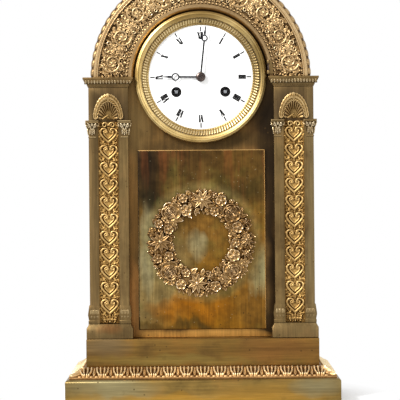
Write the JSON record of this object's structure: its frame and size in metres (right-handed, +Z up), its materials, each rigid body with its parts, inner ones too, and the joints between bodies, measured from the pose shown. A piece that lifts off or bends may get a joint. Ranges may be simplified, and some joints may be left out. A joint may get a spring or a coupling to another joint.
{
  "type": "mantel clock",
  "caption": "Arched gilt-bronze mantel clock on a stepped base: enamel dial under an opening bezel, wreath panel, niched side piers, and a striking pendulum movement behind a rear door.",
  "frame": {"origin": "middle of the flat resting face under the lower plinth", "axes": "+Z up, -Y out of the dial towards the viewer, +X to the viewer's right"},
  "size_m": [0.252, 0.13, 0.4037],
  "materials": {
    "toned_bronze": "toned gilding, satin, worn",
    "cast_gilt": "matt gilding on cast relief",
    "burnished_gilt": "burnished gilding",
    "enamel": "white fired enamel on copper, glossy",
    "blued_steel": "blued, polished",
    "brass": "polished clock brass",
    "steel": "polished steel",
    "bell_metal": "turned bell metal",
    "silk": "twisted silk",
    "glass": "clear crystal"
  },
  "bodies": {
    "case": {"archivolt": "cast_gilt", "back_panel": "toned_bronze", "back_plate": "brass", "base_moulding": "cast_gilt", "bell": "bell_metal", "bell_stand": "steel", "bezel_hinge_bracket": "burnished_gilt", "bezel_hinge_pin": "steel", "case_shell": "toned_bronze", "dial": "enamel", "front_panel": "toned_bronze", "front_plate": "brass", "front_wall": "toned_bronze", "left_heart_strip": "cast_gilt", "left_impost": "toned_bronze", "left_inner_capital": "cast_gilt", "left_niche_head": "cast_gilt", "left_outer_capital": "cast_gilt", "left_pier": "toned_bronze", "left_pier_block": "toned_bronze", "left_strap": "brass", "lower_plinth": "toned_bronze", "rear_hinge_pin": "steel", "right_heart_strip": "cast_gilt", "right_impost": "toned_bronze", "right_inner_capital": "cast_gilt", "right_niche_head": "cast_gilt", "right_outer_capital": "cast_gilt", "right_pier": "toned_bronze", "right_pier_block": "toned_bronze", "right_strap": "brass", "sight_ring": "burnished_gilt", "silk_suspension": "silk", "suspension_cock": "brass", "upper_plinth": "toned_bronze", "wreath": "cast_gilt"},
    "bezel_door": {"bezel": "burnished_gilt", "bezel_glass": "glass"},
    "back_door": {"rear_door": "toned_bronze"},
    "minute": {"centre_wheel": "brass", "minute_hand": "blued_steel"},
    "hour": {"hour_wheel": "brass", "hour_hand": "blued_steel"},
    "minute_wheel_body": {"minute_wheel": "brass"},
    "going_second": {"going_second_wheel": "brass"},
    "going_barrel_body": {"going_barrel": "brass"},
    "going_winder": {"going_winding_arbor": "steel"},
    "third": {"third_wheel": "brass"},
    "escape": {"escape_wheel": "brass"},
    "anchor_body": {"anchor": "steel"},
    "pendulum_body": {"pendulum": "brass"},
    "regulator": {"regulator_arbor": "steel"},
    "strike_second": {"strike_second_wheel": "brass", "count_wheel": "brass"},
    "strike_barrel_body": {"strike_barrel": "brass"},
    "strike_winder": {"strike_winding_arbor": "steel"},
    "pin": {"pin_wheel": "brass"},
    "warning": {"warning_wheel": "brass"},
    "fly_body": {"fly": "brass"},
    "hammer_body": {"hammer": "steel"}
  },
  "joints": [
    {"name": "bezel_hinge", "type": "hinge", "parent": "case", "child": "bezel_door", "pos_m": [0.0624, -0.0426, 0.301], "axis": [0, 0, 1], "range_deg": [0, 90]},
    {"name": "rear_door_hinge", "type": "hinge", "parent": "case", "child": "back_door", "pos_m": [0.0534, 0.0621, 0.301], "axis": [0, 0, -1], "range_deg": [0, 100]},
    {"name": "centre_turn", "type": "hinge", "parent": "case", "child": "minute", "pos_m": [0, 0, 0.301], "axis": [0, 1, 0], "continuous": true},
    {"name": "hour_turn", "type": "hinge", "parent": "case", "child": "hour", "pos_m": [0, 0, 0.301], "axis": [0, 1, 0], "continuous": true},
    {"name": "minute_wheel_turn", "type": "hinge", "parent": "case", "child": "minute_wheel_body", "pos_m": [-0.0075, 0, 0.294], "axis": [0, 1, 0], "continuous": true},
    {"name": "going_second_turn", "type": "hinge", "parent": "case", "child": "going_second", "pos_m": [0.014, 0, 0.305], "axis": [0, 1, 0], "continuous": true},
    {"name": "going_barrel_turn", "type": "hinge", "parent": "case", "child": "going_barrel_body", "pos_m": [0.0227, 0, 0.2873], "axis": [0, 1, 0], "continuous": true},
    {"name": "going_winding", "type": "hinge", "parent": "case", "child": "going_winder", "pos_m": [0.0227, 0, 0.2873], "axis": [0, 1, 0], "continuous": true},
    {"name": "third_turn", "type": "hinge", "parent": "case", "child": "third", "pos_m": [0, 0, 0.3155], "axis": [0, 1, 0], "continuous": true},
    {"name": "escape_turn", "type": "hinge", "parent": "case", "child": "escape", "pos_m": [0, 0, 0.328], "axis": [0, 1, 0], "continuous": true},
    {"name": "pendulum_swing", "type": "hinge", "parent": "case", "child": "pendulum_body", "pos_m": [0, 0, 0.341], "axis": [0, 1, 0], "range_deg": [-3.5, 3.5]},
    {"name": "anchor_swing", "type": "hinge", "parent": "case", "child": "anchor_body", "pos_m": [0, 0, 0.341], "axis": [0, 1, 0], "range_deg": [-3.5, 3.5]},
    {"name": "regulator_turn", "type": "hinge", "parent": "case", "child": "regulator", "pos_m": [0, 0, 0.3529], "axis": [0, 1, 0], "continuous": true},
    {"name": "strike_second_turn", "type": "hinge", "parent": "case", "child": "strike_second", "pos_m": [-0.014, 0, 0.305], "axis": [0, 1, 0], "continuous": true},
    {"name": "strike_barrel_turn", "type": "hinge", "parent": "case", "child": "strike_barrel_body", "pos_m": [-0.0227, 0, 0.2873], "axis": [0, 1, 0], "continuous": true},
    {"name": "strike_winding", "type": "hinge", "parent": "case", "child": "strike_winder", "pos_m": [-0.0227, 0, 0.2873], "axis": [0, 1, 0], "continuous": true},
    {"name": "pin_wheel_turn", "type": "hinge", "parent": "case", "child": "pin", "pos_m": [-0.0255, 0, 0.313], "axis": [0, 1, 0], "continuous": true},
    {"name": "warning_turn", "type": "hinge", "parent": "case", "child": "warning", "pos_m": [-0.0215, 0, 0.3255], "axis": [0, 1, 0], "continuous": true},
    {"name": "fly_turn", "type": "hinge", "parent": "case", "child": "fly_body", "pos_m": [-0.0132, 0, 0.333], "axis": [0, 1, 0], "continuous": true},
    {"name": "hammer_lift", "type": "hinge", "parent": "case", "child": "hammer_body", "pos_m": [-0.04, 0, 0.3], "axis": [0, 1, 0], "range_deg": [0, 12], "stiffness_Nm_per_rad": 0.01, "springref_deg": -10}
  ],
  "couplings": [
    {"joint": "going_second_turn", "follows": "centre_turn", "ratio": -0.25},
    {"joint": "going_barrel_turn", "follows": "centre_turn", "ratio": 0.041667},
    {"joint": "third_turn", "follows": "centre_turn", "ratio": -5},
    {"joint": "escape_turn", "follows": "centre_turn", "ratio": 22.5},
    {"joint": "minute_wheel_turn", "follows": "centre_turn", "ratio": -0.33333},
    {"joint": "hour_turn", "follows": "centre_turn", "ratio": 0.083333},
    {"joint": "anchor_swing", "follows": "pendulum_swing", "ratio": 1},
    {"joint": "strike_second_turn", "follows": "pin_wheel_turn", "ratio": -0.2},
    {"joint": "strike_barrel_turn", "follows": "pin_wheel_turn", "ratio": 0.033333},
    {"joint": "warning_turn", "follows": "pin_wheel_turn", "ratio": -4.5},
    {"joint": "fly_turn", "follows": "pin_wheel_turn", "ratio": 20.25}
  ]
}
